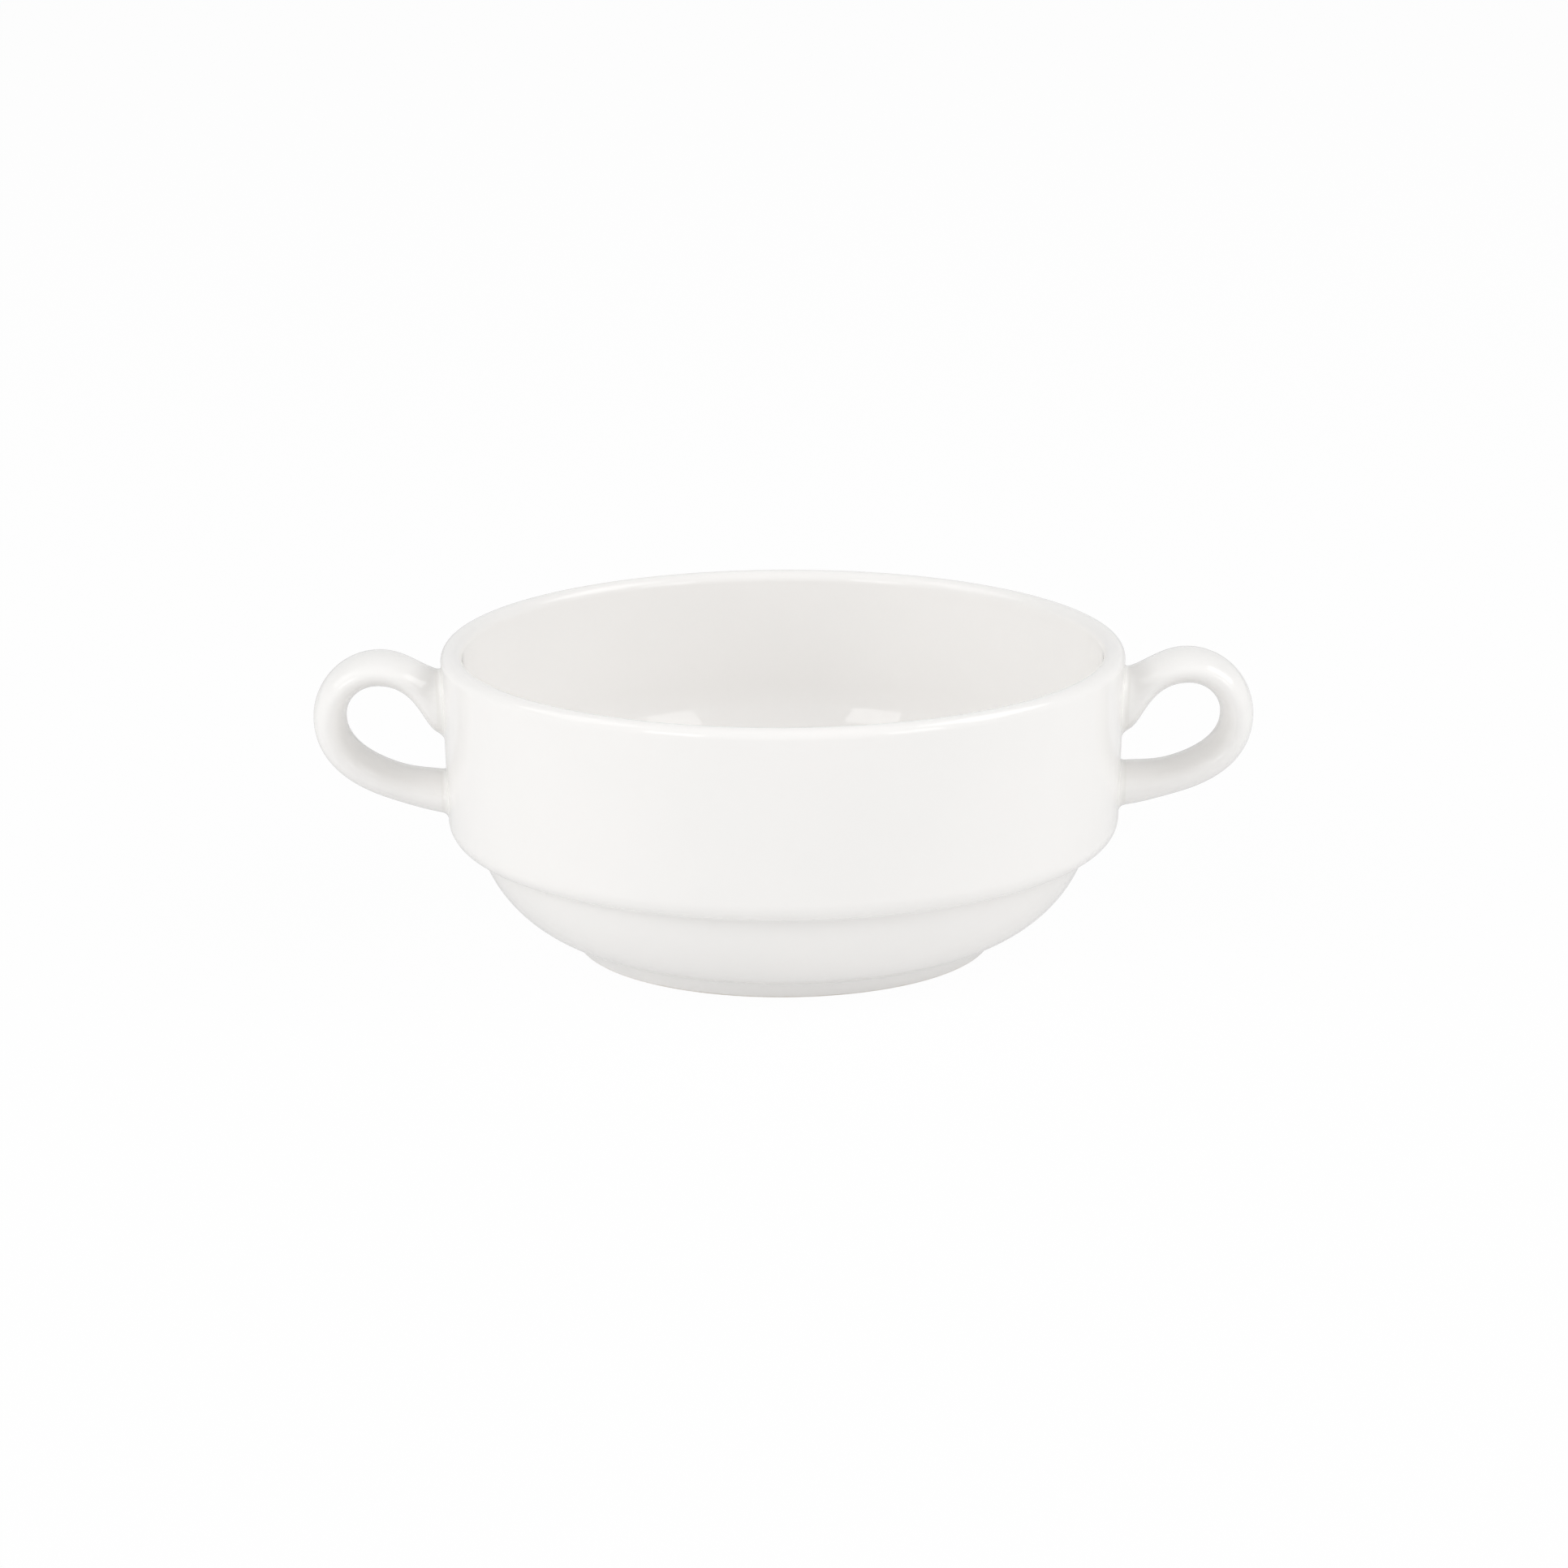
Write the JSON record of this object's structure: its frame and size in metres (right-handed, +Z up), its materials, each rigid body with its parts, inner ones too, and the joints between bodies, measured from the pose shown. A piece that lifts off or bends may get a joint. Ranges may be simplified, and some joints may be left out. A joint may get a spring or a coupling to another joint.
{
  "type": "stacking consomme bowl",
  "caption": "White glazed porcelain stacking consomme bowl with ear handles, a straight band with a stacking ledge, and a rounded well on a low foot ring.",
  "frame": {"origin": "middle of the foot ring, on the table it stands on", "axes": "+Z up along the bowl's axis of turning, +X out through the right-hand handle as pictured, +Y away from the viewer"},
  "size_m": [0.1516, 0.11, 0.049],
  "materials": {
    "glazed_porcelain": "gloss",
    "luting_slip": "gloss"
  },
  "bodies": {
    "root": {"bowl_body": "glazed_porcelain", "right_handle": "glazed_porcelain", "right_upper_slip_joint": "luting_slip", "right_lower_slip_joint": "luting_slip", "left_handle": "glazed_porcelain", "left_upper_slip_joint": "luting_slip", "left_lower_slip_joint": "luting_slip"}
  },
  "joints": []
}
